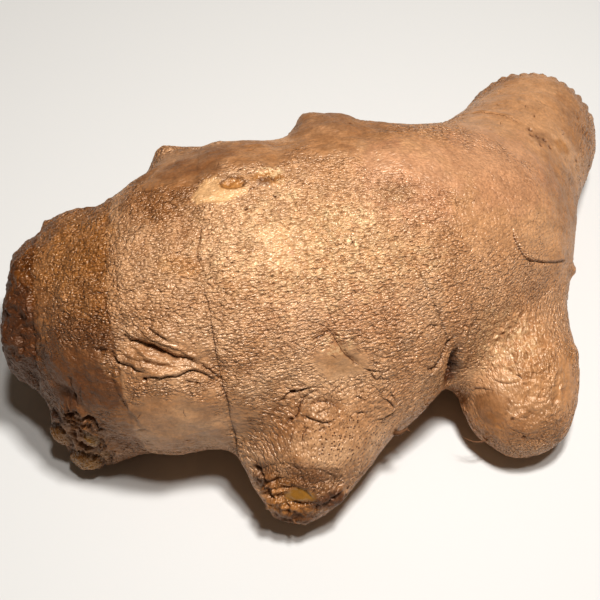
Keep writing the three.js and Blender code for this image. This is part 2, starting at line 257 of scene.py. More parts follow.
# Torn places: middle in the view, reach, height and size of the chunks in millimetres, and how far the relief
# is of chunks and not of torn folds
Crags = namedtuple("Crags", "at reach height chunk lumpy")
CRAGS = (
    Crags((12, 322), 11.0, 0.55, 3.0, 0.3),
    Crags((84, 438), 7.0, 0.7, 3.4, 0.5),
    Crags((78, 420), 4.5, 1.1, 1.6, 0.0),
    Crags((112, 448), 3.5, 0.6, 1.6, 0.0),
    Crags((268, 490), 4.0, 0.8, 1.5, 0.1),
    Crags((290, 516), 5.0, 0.8, 1.8, 0.3),
    Crags((335, 500), 3.5, 0.6, 1.8, 0.2),
    Crags((520, 436), 2.2, 0.4, 1.2, 0.6),
    Crags((270, 178), 3.4, 0.9, 1.2, 0.3),
    Crags((522, 340), 8.0, 0.45, 1.5, 0.0),
    Crags((545, 400), 7.5, 0.35, 1.5, 0.0),
    Crags((305, 412), 6.0, 0.25, 1.5, 0.0),
    Crags((380, 400), 4.0, 0.2, 1.5, 0.0),
    Crags((234, 183), 2.0, 0.5, 1.1, 0.5),
)

# Hard nodules of the stub's broken end: middle in the view, half sizes and height in millimetres
NODULES = (
    ((95, 438), (1.9, 1.7), 0.9),
    ((86, 459), (3.2, 1.9), 0.9),
    ((64, 434), (1.8, 2.4), 0.7),
    ((57, 413), (0.9, 1.0), 0.8),
    ((107, 453), (1.3, 1.1), 0.5),
)

Rootlet = namedtuple("Rootlet", "at thick rise")
# Dry rootlets and torn fibres, from the foot on: points of the view, and in millimetres the thickness and how
# far the free end stands off the skin
ROOTLETS = (
    Rootlet(((394, 433), (400, 433), (405, 430), (408, 427)), 0.9, 0.6),
    Rootlet(((404, 431), (408, 431), (411, 433)), 0.5, 0.3),
    Rootlet(((487, 440), (478, 442), (469, 440), (461, 436)), 0.4, 0.5),
    Rootlet(((76, 414), (73, 404), (70, 393), (69, 384)), 0.35, 0.5),
    Rootlet(((72, 412), (68, 405), (69, 396)), 0.3, 0.6),
    Rootlet(((66, 412), (62, 407), (60, 400)), 0.3, 0.5),
    Rootlet(((347, 488), (349, 484), (348, 480)), 0.5, 0.4),
    Rootlet(((262, 474), (257, 476), (254, 474)), 0.45, 0.5),
    Rootlet(((293, 519), (295, 523), (298, 524)), 0.6, 0.3),
)
TUBE_SIDES = 8

# Small pits, darkened with painted shade: middle in the view, radius and depth in millimetres
PITS = (
    ((531, 129), 0.45, 0.5),
    ((532, 135), 0.4, 0.4),
    ((538, 136), 0.45, 0.5),
    ((545, 140), 0.5, 0.5),
    ((550, 147), 0.4, 0.4),
    ((541, 145), 0.3, 0.3),
    ((577, 161), 0.35, 0.3),
    ((583, 173), 0.3, 0.3),
    ((293, 392), 0.35, 0.5),
    ((524, 438), 0.35, 0.3),
    ((512, 419), 0.3, 0.3),
    ((261, 180), 0.3, 0.3),
    ((273, 178), 0.3, 0.3),
    ((246, 209), 0.25, 0.2),
    ((275, 196), 0.25, 0.2),
    ((145, 380), 0.4, 0.4),
)

# Soft swellings and hollows: middle in the view, half sizes and height in millimetres
SWELLINGS = (
    ((158, 337), (5.0, 1.6), 0.45),
    ((163, 363), (4.5, 1.3), 0.4),
    ((351, 241), (1.7, 1.5), 0.35),
    ((47, 225), (1.1, 1.1), 0.9),
    ((571, 270), (1.5, 1.2), 0.9),
    ((558, 252), (2.5, 2.0), 0.4),
    ((244, 455), (2.5, 3.2), 0.9),
    ((452, 352), (1.6, 3.5), -0.7),
    ((453, 374), (1.0, 2.4), -1.8),
    ((447, 397), (3.4, 2.2), -1.8),
    ((156, 142), (1.9, 2.2), 1.1),
    ((138, 165), (2.2, 2.6), -1.1),
    ((304, 112), (2.0, 2.2), 0.9),
    ((285, 126), (2.2, 2.2), -1.0),
    ((212, 138), (2.0, 2.0), 0.4),
    ((345, 110), (2.5, 2.0), 0.3),
    ((575, 352), (1.2, 1.6), 0.5),
    ((490, 408), (3.6, 2.8), 0.3),
    ((60, 424), (1.8, 3.4), 1.1),
    ((84, 460), (4.0, 2.0), 0.8),
    ((64, 394), (2.0, 1.7), -1.3),
    ((126, 446), (2.0, 2.4), -0.6),
    ((20, 300), (3.0, 3.0), 0.5),
    ((10, 345), (3.0, 2.5), 0.5),
    ((24, 372), (3.0, 2.0), -0.6),
    ((296, 494), (3.0, 1.1), -0.5),
    ((303, 480), (5.5, 1.8), -0.5),
    ((283, 386), (1.0, 1.5), -0.35),
    ((396, 190), (1.5, 2.5), -0.4),
)
BUD_EYE = ((233, 183), (1.9, 1.15), 0.35)

# Patches of each mask: the middle in the view, half sizes across and up in millimetres, and the strength;
# then, where they aren't the usual ones, how ragged the edge is and how soft
# A few patches are painted shade or a painted highlight, as noted at each
PATCHES = {
    "stain_and_shade": (
        ((14, 340), (5.0, 10.0), 0.85),
        ((50, 375), (7.5, 6.0), 0.65),
        # Painted shade on the lower side of the left end, in this patch and the next
        ((30, 390), (7.0, 4.0), 0.65),
        ((64, 398), (4.0, 3.0), 0.8),
        ((94, 388), (4.2, 4.2), 0.7, 0.3, 0.15),
        ((85, 412), (7.0, 4.0), 0.45),
        # Painted shade in the hollow between the body and the right finger
        ((453, 374), (1.4, 3.0), 1.0),
        ((75, 345), (7.0, 4.0), 0.5),
        ((491, 408), (3.6, 2.9), 0.28, 0.15, 0.12),
        ((258, 468), (1.2, 1.2), 0.5),
        ((84, 432), (6.5, 5.5), 0.35),
        ((262, 182), (1.2, 0.7), 0.6),
        # Painted shade in the soft groove round the front finger's broken end
        ((302, 476), (7.0, 1.6), 0.4),
        # Painted shade on the right side of the front finger's tip
        ((330, 501), (3.5, 1.6), 0.9),
        ((294, 518), (3.5, 1.4), 0.7),
        ((262, 478), (2.0, 2.5), 0.5),
        ((185, 160), (8.0, 4.0), 0.4),
        ((330, 122), (9.0, 3.0), 0.3),
        ((543, 138), (2.6, 2.0), 0.35),
        ((60, 415), (1.6, 1.8), 1.0),
    ),
    "old": (
        ((165, 185), (9.0, 7.0), 0.55),
        ((255, 150), (11.0, 3.5), 0.35),
        ((345, 128), (12.0, 4.0), 0.35),
        ((578, 115), (5.0, 9.0), 0.3),
        ((486, 85), (6.0, 3.5), 0.3),
        ((565, 190), (7.0, 8.0), 0.3),
        ((175, 440), (9.0, 3.0), 0.25),
        # Painted shade at the front finger's left base, under the fold between it and the body
        ((256, 424), (6.0, 7.0), 0.45, 0.5, 1.0),
        ((345, 480), (5.0, 4.0), 0.3),
        ((298, 500), (9.5, 4.5), 0.55, 0.5, 0.8),
        ((530, 430), (8.0, 3.0), 0.35),
    ),
    "ochre": (
        ((75, 250), (7.5, 7.0), 0.5),
        ((90, 285), (6.0, 6.0), 0.3),
        ((180, 266), (3.0, 1.6), 0.4, 0.4, 0.6),
        ((232, 183), (2.2, 1.2), 0.9),
        ((268, 178), (3.4, 1.0), 0.8),
        ((491, 408), (3.6, 2.9), 0.3, 0.15, 0.12),
        ((562, 147), (1.8, 1.8), 0.7),
        ((485, 425), (3.0, 2.5), 0.4),
        ((285, 510), (4.5, 2.5), 0.7),
        ((274, 485), (3.0, 2.5), 0.5),
        ((86, 440), (6.0, 5.0), 0.4),
        ((485, 428), (3.5, 2.0), 0.4),
        ((570, 352), (1.6, 2.2), 0.5),
        ((545, 370), (5.0, 6.0), 0.25, 0.5, 1.0),
        ((78, 425), (3.0, 1.5), 0.5),
    ),
    "cream_and_highlight": (
        ((282, 250), (4.5, 3.4), 0.2),
        # Painted highlight: a paler sheen over the middle of the body
        ((320, 255), (13.0, 8.0), 0.3, 0.5, 1.4),
        ((218, 190), (4.6, 2.3), 0.75, 0.35, 0.2),
    ),
    "pale": (
        ((292, 196), (0.9, 0.7), 1.0, 0.5, 0.3),
        ((352, 241), (1.2, 1.1), 1.0, 0.4, 0.3),
        ((300, 250), (1.8, 1.2), 0.3),
        ((350, 213), (4.0, 0.9), 0.9, 0.5, 0.4),
        ((360, 222), (2.4, 0.6), 0.9, 0.5, 0.4),
        ((268, 172), (2.6, 0.9), 0.8, 0.5, 0.4),
        ((284, 181), (1.2, 0.5), 0.8, 0.5, 0.4),
        ((338, 343), (2.5, 1.8), 0.5),
        ((490, 330), (4.0, 4.0), 0.3),
        ((505, 345), (5.0, 5.0), 0.4, 0.5, 1.0),
        # Painted highlight: pale glints and sheen over the middle of the body
        ((325, 252), (16.0, 8.0), 0.4, 0.5, 1.4),
    ),
    "blush": (
        ((410, 180), (9.0, 8.0), 0.3),
        ((500, 165), (12.0, 8.0), 0.25),
        ((290, 252), (0.7, 0.5), 1.0),
        ((330, 300), (12.0, 6.0), 0.2, 0.5, 1.2),
    ),
    "grey": (
        ((345, 364), (3.0, 1.6), 0.5),
        ((397, 192), (2.5, 2.0), 0.5),
        ((180, 430), (11.0, 5.0), 0.2),
    ),
    "flesh": (
        ((297, 497), (2.9, 1.0), 1.0),
        ((95, 438), (1.6, 1.4), 1.0, 0.5, 0.6),
        ((88, 458), (2.8, 1.4), 0.8, 0.5, 0.7),
        ((65, 432), (1.4, 1.8), 0.4, 0.5, 0.7),
        ((104, 455), (1.1, 1.0), 0.5, 0.5, 0.6),
    ),
    "calm": (
        ((180, 425), (11.0, 5.0), 1.0),
        ((165, 358), (7.0, 4.0), 0.6),
        ((343, 362), (4.5, 2.5), 0.9),
        ((80, 385), (8.0, 6.0), 0.8),
        ((500, 405), (9.0, 6.0), 0.7),
        ((535, 130), (13.0, 12.0), 1.0),
        ((560, 210), (9.0, 12.0), 0.7),
        ((490, 408), (4.0, 3.2), 1.0),
        ((565, 385), (2.5, 5.0), 0.9),
        ((284, 250), (4.5, 3.4), 0.4),
        ((218, 190), (4.6, 2.3), 0.7),
        ((297, 497), (3.2, 1.2), 1.0),
        ((345, 435), (11.0, 6.0), 0.5),
        ((540, 95), (10.0, 8.0), 1.0),
        ((440, 160), (8.0, 6.0), 0.7),
        ((180, 165), (8.0, 4.5), 0.9),
        ((245, 150), (9.0, 3.2), 0.85),
        ((325, 130), (11.0, 5.0), 0.85),
        ((400, 150), (9.0, 4.0), 0.7),
        ((500, 195), (11.0, 10.0), 0.6),
    ),
    "pebble": (
        ((65, 300), (9.0, 18.0), 1.0),
        ((300, 205), (16.0, 8.0), 0.9),
        ((440, 190), (12.0, 11.0), 0.8),
        ((520, 150), (12.0, 14.0), 1.0),
        ((350, 420), (11.0, 9.0), 0.9),
        ((310, 475), (8.0, 4.0), 1.0),
        ((515, 370), (11.0, 14.0), 1.0),
    ),
    "pores": (
        ((355, 440), (10.0, 5.0), 1.0),
        ((320, 445), (6.0, 4.0), 0.6),
    ),
}
# Masks made by the skin's shaping: the ruddy tone; the crease mask, painted shade in grooves, ring creases,
# torn places, pits and round nodules' feet, with a dark ring round the bud eye; and the depth of the wrinkles'
# valleys, which the material turns into painted shade
MASKS = tuple(PATCHES) + ("ruddy", "crease", "wrinkle_valley_shade")


def hex_colour(text):
    """A linear RGBA colour from sRGB hex digits."""
    parts = [int(text[i:i + 2], 16) / 255 for i in (0, 2, 4)]
    return [c / 12.92 if c <= 0.04045 else ((c + 0.055) / 1.055) ** 2.4 for c in parts] + [1.0]


def to_view(row):
    """Points of the row frame, in metres, to the view frame, in millimetres."""
    row = np.asarray(row) / MM
    y, z = row[:, 1] + MIDDLE[1], row[:, 2] - TABLE_BELOW
    sine, cosine = math.sin(LOOK_DOWN), math.cos(LOOK_DOWN)
    return np.stack([row[:, 0] + MIDDLE[0], y * sine + z * cosine, z * sine - y * cosine], 1)


def to_row(view):
    """Points of the view frame, in millimetres, to the row frame, in metres."""
    sine, cosine = math.sin(LOOK_DOWN), math.cos(LOOK_DOWN)
    u, v, w = np.asarray(view, float).T
    y, z = v * sine - w * cosine - MIDDLE[1], v * cosine + w * sine + TABLE_BELOW
    return np.stack([u - MIDDLE[0], y, z], 1) * MM


def at_depth(pixel, depth):
    """The point of the view frame seen at a pixel of the photograph's frame, at a depth toward the viewer."""
    half = PHOTO_PIXELS / 2
    nearer = (1 - depth / VIEW_DISTANCE) / PIXELS_PER_MM
    return (pixel[0] - half) * nearer, (half - pixel[1]) * nearer, depth


def met(surfaces, eye, way, reach):
    """Where a ray first meets one of some surfaces, or if it misses them all, their place nearest to it."""
    hits = [hit for hit in (surface.ray_cast(eye, way) for surface in surfaces) if hit[0]]
    hits = hits or [surface.find_nearest(eye + way * away) for surface in surfaces for away in reach]
    return np.array(min(hits, key=lambda hit: hit[3])[0])


def unit(vectors):
    return vectors / np.maximum(np.linalg.norm(vectors, axis=1, keepdims=True), 1e-9)


def smooth_line(points, step):
    """A smooth line through points, as more points about `step` apart."""
    points = np.array(points, float)
    ends = np.concatenate([2 * points[:1] - points[1:2], points, 2 * points[-1:] - points[-2:-1]])
    drawn = []
    for p0, p1, p2, p3 in zip(ends, ends[1:], ends[2:], ends[3:]):
        count = max(1, round(np.linalg.norm(p2 - p1) / step))
        for t in np.arange(count) / count:
            drawn.append(0.5 * (2 * p1 + (p2 - p0) * t + (2 * p0 - 5 * p1 + 4 * p2 - p3) * t ** 2
                                + (3 * p1 - p0 - 3 * p2 + p3) * t ** 3))
    return np.array(drawn + [points[-1]])


class Noise:
    """Seeded noise in space, evaluated for arrays of points in millimetres."""

    def __init__(self, seed):
        random = np.random.default_rng(seed)
        self.order = random.permutation(256)
        self.slopes = unit(random.normal(size=(256, 3))).T.astype(np.float32).copy()
        self.spots = random.random((256, 3))

    def smooth(self, points, size):
        """Gradient noise, about -1 to 1, with bumps about `size` apart."""
        places = points / size
        base = np.floor(places).astype(int)
        part = (places - base).T.astype(np.float32)
        fade = part ** 3 * (part * (part * 6 - 15) + 10)
        i, j, k = base.T
        total = np.zeros(len(points), np.float32)
        for di in (0, 1):
            row = self.order[(i + di) & 255] + j
            share_i = fade[0] if di else 1 - fade[0]
            for dj in (0, 1):
                column = self.order[(row + dj) & 255] + k
                share_j = share_i * (fade[1] if dj else 1 - fade[1])
                for dk in (0, 1):
                    slope = self.order[(column + dk) & 255]
                    rise = self.slopes[0][slope] * (part[0] - di)
                    rise += self.slopes[1][slope] * (part[1] - dj)
                    rise += self.slopes[2][slope] * (part[2] - dk)
                    total += share_j * (fade[2] if dk else 1 - fade[2]) * rise
        return 1.7 * total

    def layers(self, points, size, count):
        """Several layers of gradient noise, each half as large and half as strong."""
        return sum(self.smooth(points + 31.7 * i, size / 2 ** i) / 2 ** i for i in range(count))

    def cells(self, points, size):
        """Distances to the nearest and the second nearest of scattered spots, in spot spacings."""
        places = points / size
        base = np.floor(places).astype(int)
        first = np.full(len(points), 9.0)
        second = first.copy()
        for corner in np.ndindex(3, 3, 3):
            cell = base + corner - 1
            i, j, k = cell.T
            spot = self.order[(self.order[(self.order[i & 255] + j) & 255] + k) & 255]
            away = np.linalg.norm(cell + self.spots[spot] - places, axis=1)
            second = np.minimum(second, np.maximum(first, away))
            first = np.minimum(first, away)
        return first, second


def segment_distance(points, a, b):
    """Distance from points to the segment a-b, and how far along it the nearest place is, from 0 to 1."""
    step = b - a
    share = np.clip((points - a) @ step / max(step @ step, 1e-9), 0, 1)
    return np.linalg.norm(points - a - share[:, None] * step, axis=1), share


def eased(share):
    """A share held from 0 to 1, with a smooth start and end."""
    share = np.clip(share, 0, 1)
    return share * share * (3 - 2 * share)


class Skin:
    """The root's skin as a fine even mesh in the view frame, with a height and masks for every point."""

    def __init__(self, sizes):
        self.sizes = sizes
        self.noise = Noise(sizes.seed)
        self.points, self.quads, base = even_mesh(frame["nodes"][ROOT_NODE], sizes)
        self.tree = BVHTree.FromPolygons(base[0].tolist(), base[1].tolist())
        self.normals = normals_of(self.points, self.quads)
        self.height = np.zeros(len(self.points))
        self.masks = {name: np.zeros(len(self.points)) for name in MASKS}
        self.gap = np.tile((0.0, 0.0, FAR), (len(self.points), 1))
        self.cloud = self.noise.layers(self.points + 61, 3.0, 3)
        self.find_growth()

    def find_growth(self):
        """The way each point's skin grew, along its finger, and each finger's share in the point."""
        shares, ways = {}, np.zeros_like(self.points)
        for name, (line, radius) in GROWTH.items():
            near = np.full(len(self.points), 1e9)
            way = np.zeros_like(self.points)
            line = np.array(line, float)
            steps = unit(np.diff(line, axis=0))
            turns = np.concatenate([steps[:1], unit(steps[:-1] + steps[1:]), steps[-1:]])
            for a, b, turn_a, turn_b in zip(line[:-1], line[1:], turns[:-1], turns[1:]):
                away, share = segment_distance(self.points, a, b)
                closer = away < near
                near[closer] = away[closer]
                way[closer] = (turn_a + share[:, None] * (turn_b - turn_a))[closer]
            shares[name] = (radius / near) ** 6
            ways += shares[name][:, None] * way
        total = sum(shares.values())
        self.shares = {name: share / total for name, share in shares.items()}
        self.find_grain()
        self.ways = unit(ways - np.einsum("ij,ij->i", ways, self.normals)[:, None] * self.normals)

    def find_grain(self):
        """Places for the skin's finest texture, squeezed along each finger so that it stretches there."""
        self.grain_places = self.points.copy()
        body = np.array(GROWTH["body"][0], float)
        body_way = unit(body[-1:] - body[:1])[0]
        for name, (line, _) in GROWTH.items():
            line = np.array(line, float)
            way = unit(line[-1:] - line[:1])[0]
            start = np.zeros(3) if name == "body" else line[0]
            squeeze = np.outer((self.points - start) @ way, way) + (start @ body_way) * body_way
            self.grain_places -= (1 - 1 / GRAIN_STRETCH) * self.shares[name][:, None] * squeeze

    def under(self, pixel):
        """The place on the skin under a pixel of the photograph's frame, or the nearest one beside it."""
        eye = Vector((0, 0, VIEW_DISTANCE))
        way = (Vector(at_depth(pixel, 0)) - eye).normalized()
        return met([self.tree], eye, way, ROOT_REACH)

    def line_on(self, pixels):
        """A smooth line over the skin through pixels of the view."""
        return np.array([self.under(pixel) for pixel in smooth_line(pixels, LINE_STEP * PIXELS_PER_MM)])

    def close_to(self, low, high):
        """The numbers of the points inside a box."""
        return np.flatnonzero(((self.points > low) & (self.points < high)).all(axis=1))

    def near_line(self, line, reach, wobble=0.15):
        """Points near a line: numbers, signed distances, ways across it, places along it, and its length."""
        chosen = self.close_to(line.min(axis=0) - reach, line.max(axis=0) + reach)
        points, normals = self.points[chosen], self.normals[chosen]
        near = np.full(len(chosen), 1e9)
        side, along = np.zeros(len(chosen)), np.zeros(len(chosen))
        across = np.zeros_like(points)
        gone = 0.0
        for a, b in zip(line[:-1], line[1:]):
            away, share = segment_distance(points, a, b)
            closer = away < near
            near[closer] = away[closer]
            turned = np.cross(normals[closer], b - a)
            across[closer] = turned
            side[closer] = np.sign(np.einsum("ij,ij->i", turned, points[closer] - a))
            length = np.linalg.norm(b - a)
            along[closer] = gone + share[closer] * length
            gone += length
        frayed = self.noise.smooth(points, 1.5) + 0.6 * self.noise.smooth(points + 9, 0.6)
        signed = side * near + wobble * frayed
        return chosen, signed, unit(across), along, gone

    def darken(self, chosen, signed, across, half):
        """Notes how far the points lie from a dark line, in its half widths, as a vector across it."""
        ratio = signed / np.maximum(half, 1e-3)
        better = (np.abs(signed) < 0.9) & (np.abs(ratio) < np.linalg.norm(self.gap[chosen], axis=1))
        self.gap[chosen[better]] = (ratio[:, None] * across)[better]

    def mark(self, mask, chosen, strength):
        """Raises a mask to a strength at some points, where it isn't stronger already."""
        self.masks[mask][chosen] = np.maximum(self.masks[mask][chosen], strength)

    def crack(self, line, dark, width, depth, edge, reach):
        """Cuts a crack, with the skin on the left of it standing above that on its right."""
        chosen, signed, across, along, length = self.near_line(line, max(3 * width, 3 * reach, 1.5))
        from_end = np.minimum(along, length - along) / min(CRACK_TAPER, length / 2.5)
        ends = CRACK_END + (1 - CRACK_END) * eased(from_end)
        cut = np.exp(-(signed / width) ** 2) * ends
        lifted = np.where(signed > 0, np.exp(-np.abs(signed) / reach), 0) * edge * ends
        curled = CURL * edge * np.exp(-((signed - 1.5 * width) / width) ** 2) * ends
        self.height[chosen] += lifted + curled - depth * cut
        self.darken(chosen, signed, across, dark * ends)
        # Painted shade in the groove, the darker the deeper it is
        shade = GROOVE_SHADE * np.clip(cut * depth, 0, 1)
        self.mark("crease", chosen, shade)

    def flake(self, count):
        """Scatters small curved cracks, where the dry skin has begun to lift."""
        random = np.random.default_rng(self.sizes.seed + 1)
        places = random.choice(len(self.points), count, replace=False)
        for place in places:
            start, normal = self.points[place], self.normals[place]
            turn = random.uniform(0, 2 * math.pi)
            way = unit(np.cross(normal, (math.cos(turn), math.sin(turn), 0.3))[None])[0]
            bend = np.cross(normal, way) * random.uniform(-FLAKE_BEND, FLAKE_BEND)
            along = np.linspace(-0.5, 0.5, 5)[:, None] * random.uniform(*FLAKE_LENGTH)
            line = start + along * way + (along ** 2) * bend
            edge = random.uniform(*FLAKE_EDGE)
            self.crack(line, random.uniform(*FLAKE_DARK), *FLAKE_GROOVE, edge, FLAKE_REACH)

    def ring(self, middle, lean, cup, depth, dark, old, ruddy, seen):
        """A leaf-scale ring round the body: a thin crease, with the scale's edge standing before it."""
        slant = np.array((1, -lean, -cup)) / math.sqrt(1 + lean ** 2 + cup ** 2)
        signed = self.points @ slant - middle * slant[0]
        ragged = signed + RING_RAGGED * self.cloud
        self.masks["old"] = np.maximum(self.masks["old"], old * eased(0.5 - ragged))
        self.masks["ruddy"] = np.maximum(self.masks["ruddy"], ruddy * eased(0.5 + ragged / RUDDY_FADE))
        chosen = np.flatnonzero((np.abs(signed) < 9) & (self.shares["body"] > 0.25))
        points, signed = self.points[chosen], signed[chosen]
        signed = signed + RING_WANDER * self.noise.layers(points, 7.0, 2)
        signed = signed + 0.14 * self.noise.smooth(points, 1.1)
        on_body = eased(self.shares["body"][chosen] * 2 - 0.5)
        worn = np.clip(0.7 + 0.9 * self.noise.smooth(points + 50, 5.0), 0.05, 1) * on_body
        worn *= eased((points[:, 1] - seen[0]) / 3) * eased((seen[1] - points[:, 1]) / 4)
        cut = np.exp(-(signed / RING_WIDTH) ** 2) * worn
        lifted = np.where(signed > 0, np.exp(-np.abs(signed) / SCALE_FADE), 0) * (0.4 + 0.6 * worn)
        self.height[chosen] += SCALE_EDGE * lifted * on_body - depth * cut
        across = np.tile(slant, (len(chosen), 1))
        self.darken(chosen, signed, across, dark * np.clip(worn, 0.05, 1))
        # Painted shade in the ring's crease
        self.mark("crease", chosen, RING_SHADE * cut)

    def grain(self):
        """Fine wrinkles that run along the body and into the fingers, and pebbly or calm skin elsewhere."""
        points, noise, sizes = self.points, self.noise, self.sizes
        spacing, reach = sizes.wrinkle_spacing / MM, sizes.wrinkle_length / MM
        bent = points + 0.5 * noise.smooth(points + 3, 2.4)[:, None] * self.normals
        steps = np.linspace(-0.5, 0.5, 6) * reach
        total = sum(noise.smooth(bent + step * self.ways, spacing) for step in steps)
        along = total / total.std()
        pebbled = noise.smooth(points + 77, 0.9 * spacing)
        pebbled /= pebbled.std()
        self.masks["pebble"] = eased(self.masks["pebble"] + 0.5 * noise.layers(points + 41, 8.0, 2))
        pebble = self.masks["pebble"]
        mixed = along * (1 - 0.75 * pebble) + pebbled * (0.3 + 0.6 * pebble)
        ridged = np.minimum(np.abs(mixed), 1.3) - 0.65
        calm = 1 - 0.75 * self.masks["calm"]
        calm *= np.clip(0.85 + 0.5 * noise.smooth(points + 99, 9.0), 0.4, 1.2)
        broad = noise.layers(points + 13, 4.5, 3)
        gnarled = sizes.gnarl / MM * self.masks["old"] * noise.layers(points + 7, 3.6, 3)
        self.height += sizes.wrinkle_depth / MM * ridged * calm + sizes.swell / MM * broad + gnarled
        # How deep each point lies in a wrinkle's valley, which the material turns into painted shade
        self.masks["wrinkle_valley_shade"] = np.clip(0.5 - 0.75 * ridged * calm, 0, 1)

    def crags(self, at, reach, height, chunk, lumpy):
        """Torn, chunky relief round a broken end."""
        middle = self.under(at)
        chosen = self.close_to(middle - reach, middle + reach)
        points = self.points[chosen]
        away = np.linalg.norm(points - middle, axis=1) / reach
        share = eased(1.8 - 1.8 * away + 0.4 * self.noise.smooth(points, 2.0))
        first, second = self.noise.cells(points + 0.5 * self.noise.smooth(points, 1.5)[:, None], chunk)
        lumps = np.sqrt(np.clip(second - first, 0, 0.6) / 0.6)
        bent = points + 0.8 * self.noise.smooth(points, 2.5)[:, None]
        torn = 1 - 2.2 * np.abs(self.noise.layers(bent, 2.4, 4))
        self.height[chosen] += share * height * (lumpy * (lumps - 0.6) + (1 - lumpy) * torn * 0.7)
        # Painted shade between the chunks and in the torn hollows
        shade = share * (lumpy * (1 - lumps) ** 2 + (1 - lumpy) * 0.7 * eased(-torn))
        self.mark("crease", chosen, min(height, 0.8) * shade)
        self.mark("calm", chosen, min(height, 0.6) * share)

    def nodule(self, at, half, height):
        """A hard round lump with a crease round its foot, darkened there with painted shade."""
        chosen, away = self.near_spot(at, half, 2.0)
        away = away + 0.15 * self.noise.smooth(self.points[chosen], 0.9)
        foot = np.exp(-((away - 1.05) / 0.16) ** 2)
        self.height[chosen] += height * (np.sqrt(np.clip(1 - away ** 2, 0, None)) - NODULE_FOOT * foot)
        self.mark("crease", chosen, 0.8 * foot)

    def pit(self, at, radius, depth):
        """A small pit with a slight rim, darkened inside with painted shade."""
        chosen, away = self.near_spot(at, (radius, radius), 4.0)
        away = away + 0.3 * self.noise.smooth(self.points[chosen], 0.8)
        self.height[chosen] += depth * (PIT_RIM * np.exp(-((away - 1.6) / 0.5) ** 2) - np.exp(-away ** 2))
        self.mark("crease", chosen, 0.85 * eased(1.5 - away))

    def scallops(self, pitch, height, width, at):
        """A row of small round bumps along a rim."""
        chosen, signed, _, along, length = self.near_line(self.line_on(at), 3 * width, 0.3)
        along = along + 0.7 * self.noise.smooth(self.points[chosen], 4.5)
        ends = eased(np.minimum(along, length - along) / 3)
        across = np.exp(-(signed / width) ** 2) * ends
        self.height[chosen] += height * across * (np.abs(np.sin(math.pi * along / pitch)) - 0.4)

    def near_spot(self, at, half, margin):
        """Points near a spot in the view, with how far they lie from it in its half sizes."""
        middle = self.under(at)
        reach = margin * max(half)
        chosen = self.close_to(middle - reach, middle + reach)
        offset = self.points[chosen] - middle
        return chosen, np.sqrt((offset[:, 0] / half[0]) ** 2 + (offset[:, 1] / half[1]) ** 2
                               + (offset[:, 2] / max(half)) ** 2)

    def patch(self, mask, at, half, strength, ragged=0.35, soft=0.7):
        """A cloudy-edged patch in a mask."""
        chosen, away = self.near_spot(at, half, 2.2)
        away = away + ragged * self.noise.layers(self.points[chosen] + 21, 3.0, 3)
        share = eased((1 - away) / soft + 0.5) * strength
        self.mark(mask, chosen, share)

    def swelling(self, at, half, height):
        """A soft swelling, or a hollow if its height is negative."""
        chosen, away = self.near_spot(at, half, 3.0)
        self.height[chosen] += height * np.exp(-away ** 2)

    def bud_eye(self, at, half, depth):
        """A dormant bud: an oval dimple with a raised rim."""
        chosen, away = self.near_spot(at, half, 2.5)
        away = away + 0.12 * self.noise.smooth(self.points[chosen], 0.9)
        self.height[chosen] += depth * (0.6 * np.exp(-((away - 1.2) / 0.25) ** 2) - np.exp(-away ** 4))
        # A dark ring round the dimple's edge, in the crease mask
        rim = 0.75 * np.exp(-((away - 1.0) / 0.14) ** 2)
        self.mark("crease", chosen, rim)

    def raise_relief(self):
        """Moves the skin by its height and keeps the root above the table."""
        self.points = self.points + self.height[:, None] * self.normals
        row = to_row(self.points)
        row[:, 2] = np.maximum(row[:, 2], 0)
        self.row = row
        self.row_normals = normals_of(row, self.quads)

    def parts(self):
        """The quads of each piece: the body between its rings, and each finger."""
        centre = self.points[self.quads].mean(axis=1)
        share = {name: values[self.quads[:, 0]] for name, values in self.shares.items()}
        left = share["body"] + share["stub"]
        fingers = {name: share[name] > np.maximum(0.7 * left, 0.34) for name in ("front", "right", "back")}
        rest = ~(fingers["front"] | fingers["right"] | fingers["back"])
        passed = sum((centre @ (1, -ring.lean, -ring.cup) > ring.middle).astype(int) for ring in RINGS[1:])
        for number, name in enumerate(BODY_PARTS):
            yield name, rest & (passed == number)
        for name, chosen in fingers.items():
            yield "finger_" + name, chosen

    def make_piece(self, name, chosen, material):
        """A Blender object of some of the skin's quads, shaded as one with the rest."""
        used, quads = np.unique(self.quads[chosen], return_inverse=True)
        mesh = bpy.data.meshes.new(name)
        mesh.from_pydata(self.row[used].tolist(), [], quads.reshape(-1, 4).tolist())
        for mask, values in self.masks.items():
            layer = mesh.attributes.new(mask, "FLOAT", "POINT")
            layer.data.foreach_set("value", values[used].astype(np.float32))
        for key, values in (("gap", self.gap[used]), ("grain", self.grain_places[used] * MM)):
            layer = mesh.attributes.new(key, "FLOAT_VECTOR", "POINT")
            layer.data.foreach_set("vector", values.astype(np.float32).ravel())
        mesh.materials.append(material)
        mesh.shade_smooth()
        mesh.normals_split_custom_set_from_vertices(self.row_normals[used].tolist())
        piece = place(name, mesh)
        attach(piece, "root")
        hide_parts(ROOT_NODE)


def normals_of(points, quads):
    """The normals of a quad mesh at its points."""
    a, b, c, d = (points[quads[:, i]] for i in range(4))
    faces = np.cross(c - a, d - b)
    corners = quads.ravel()
    return unit(np.stack([np.bincount(corners, np.repeat(faces[:, i], 4), len(points)) for i in range(3)], 1))


def spread(points, links, rounds, share=0.7):
    """Averages every point with its neighbours, several times."""
    a, b = links.T
    count = len(points)
    linked = np.bincount(links.ravel(), minlength=count)[:, None]
    for _ in range(rounds):
        total = np.stack([np.bincount(a, points[b, i], count) + np.bincount(b, points[a, i], count)
                          for i in range(3)], 1)
        points = points + share * (total / linked - points)
    return points


